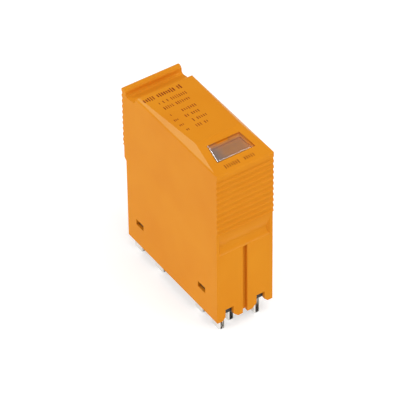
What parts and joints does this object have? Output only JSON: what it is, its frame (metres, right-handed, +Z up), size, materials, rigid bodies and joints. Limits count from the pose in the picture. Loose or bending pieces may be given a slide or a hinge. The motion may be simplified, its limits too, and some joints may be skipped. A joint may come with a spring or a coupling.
{
  "type": "plug-in surge arrester module",
  "caption": "Slim orange plug-in surge arrester module: ribbed hood with finger lip, roofed top, clear window and folded tin-plated blade contacts below the rim.",
  "frame": {"origin": "middle of the box around the module, on the plane of the contact noses that it stands on", "axes": "+Z up from the contacts to the roof, Y along the long sides with the windowed end at -Y and the finger lip at +Y, X across the module width"},
  "size_m": [0.0178, 0.045, 0.0581],
  "materials": {
    "orange_plastic": "fine moulded satin",
    "clear_plastic": "clear, polished",
    "black_plastic": "moulded satin",
    "circuit_board": "solder resist",
    "tinned_brass": "tin plated, semi-bright",
    "tube_ceramic": "fired, unglazed",
    "resistor_coating": "coated",
    "diode_moulding": "moulded"
  },
  "bodies": {
    "root": {"hood": "orange_plastic", "window": "clear_plastic", "contact_carrier": "black_plastic", "contact_board": "circuit_board", "upright_board": "circuit_board", "earth_contact": "tinned_brass", "line_contact_1": "tinned_brass", "line_contact_2": "tinned_brass", "line_contact_3": "tinned_brass", "line_contact_4": "tinned_brass", "line_contact_5": "tinned_brass", "line_contact_6": "tinned_brass", "line_contact_7": "tinned_brass", "line_contact_8": "tinned_brass", "gas_tube_1": "tube_ceramic", "gas_tube_2": "tube_ceramic", "decoupling_resistor_1": "resistor_coating", "decoupling_resistor_2": "resistor_coating", "decoupling_resistor_3": "resistor_coating", "decoupling_resistor_4": "resistor_coating", "suppressor_diode_1": "diode_moulding", "suppressor_diode_2": "diode_moulding", "suppressor_diode_3": "diode_moulding", "suppressor_diode_4": "diode_moulding"}
  },
  "joints": []
}
